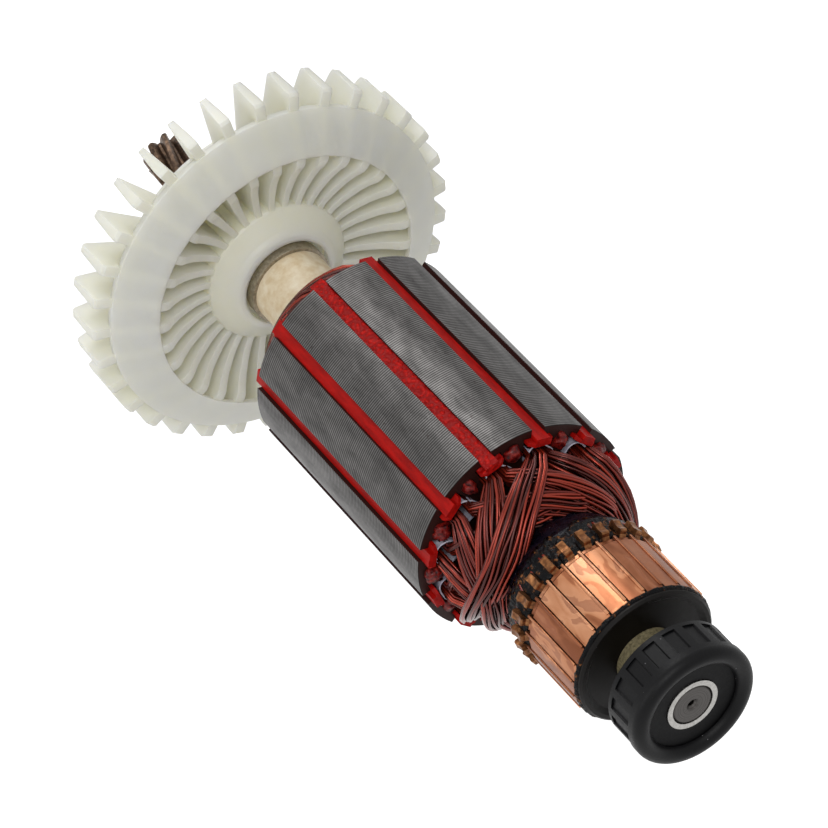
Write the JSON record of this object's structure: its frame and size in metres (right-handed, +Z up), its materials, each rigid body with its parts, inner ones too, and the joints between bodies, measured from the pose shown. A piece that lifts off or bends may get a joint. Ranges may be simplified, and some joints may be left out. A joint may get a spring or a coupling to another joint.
{
  "type": "motor armature",
  "caption": "Commutator motor armature: slotted lamination stack, moulded radial fan, helical pinion and a sealed tail bearing in a ribbed rubber boot.",
  "frame": {"origin": "centre of the rubber boot's full round seat, on the shaft's axis", "axes": "+X along the shaft from the pinion towards the tail bearing, +Z up"},
  "size_m": [0.1797, 0.0763, 0.0764],
  "materials": {
    "shaft_steel": "turned and blackened",
    "cream_sleeve": "moulded",
    "lamination_steel": "ground stack edge",
    "enamelled_copper": "enamelled wire",
    "red_varnish": "dripped varnish",
    "dark_varnish": "dripped varnish",
    "bush_steel": "turned",
    "natural_nylon": "natural nylon",
    "phenolic": "moulded",
    "copper": "turned copper",
    "glass_fibre": "woven glass fibre",
    "ring_steel": "ground bearing steel",
    "cage_brass": "pressed",
    "ball_steel": "polished",
    "seal_rubber": "moulded",
    "boot_rubber": "moulded",
    "white_liner": "insulating paper",
    "red_wedge": "varnished strip"
  },
  "bodies": {
    "tail_mount": {"rubber_boot": "boot_rubber", "bearing_outer_ring": "ring_steel", "bearing_seal_front": "seal_rubber", "bearing_seal_back": "seal_rubber"},
    "rotor": {"shaft": "shaft_steel", "insulating_sleeve": "cream_sleeve", "core": "lamination_steel", "winding": "enamelled_copper", "varnish_beads_front": "red_varnish", "varnish_beads_back": "red_varnish", "varnish_seal": "dark_varnish", "fan_bush": "bush_steel", "fan": "natural_nylon", "commutator_moulding": "phenolic", "commutator_bars": "copper", "fibre_sleeve": "glass_fibre", "bearing_inner_ring": "ring_steel", "slot_liner_1": "white_liner", "slot_liner_2": "white_liner", "slot_liner_3": "white_liner", "slot_liner_4": "white_liner", "slot_liner_5": "white_liner", "slot_liner_6": "white_liner", "slot_liner_7": "white_liner", "slot_liner_8": "white_liner", "slot_liner_9": "white_liner", "slot_liner_10": "white_liner", "slot_liner_11": "white_liner", "slot_liner_12": "white_liner", "slot_wedge_1": "red_wedge", "slot_wedge_2": "red_wedge", "slot_wedge_3": "red_wedge", "slot_wedge_4": "red_wedge", "slot_wedge_5": "red_wedge", "slot_wedge_6": "red_wedge", "slot_wedge_7": "red_wedge", "slot_wedge_8": "red_wedge", "slot_wedge_9": "red_wedge", "slot_wedge_10": "red_wedge", "slot_wedge_11": "red_wedge", "slot_wedge_12": "red_wedge"},
    "ball_set": {"bearing_cage": "cage_brass", "bearing_balls": "ball_steel"}
  },
  "joints": [
    {"name": "rotor_spin", "type": "hinge", "parent": "tail_mount", "child": "rotor", "pos_m": [0, 0, 0], "axis": [1, 0, 0], "continuous": true},
    {"name": "ball_set_spin", "type": "hinge", "parent": "tail_mount", "child": "ball_set", "pos_m": [0, 0, 0], "axis": [1, 0, 0], "continuous": true}
  ],
  "couplings": [
    {"joint": "ball_set_spin", "follows": "rotor_spin", "ratio": 0.3677}
  ]
}
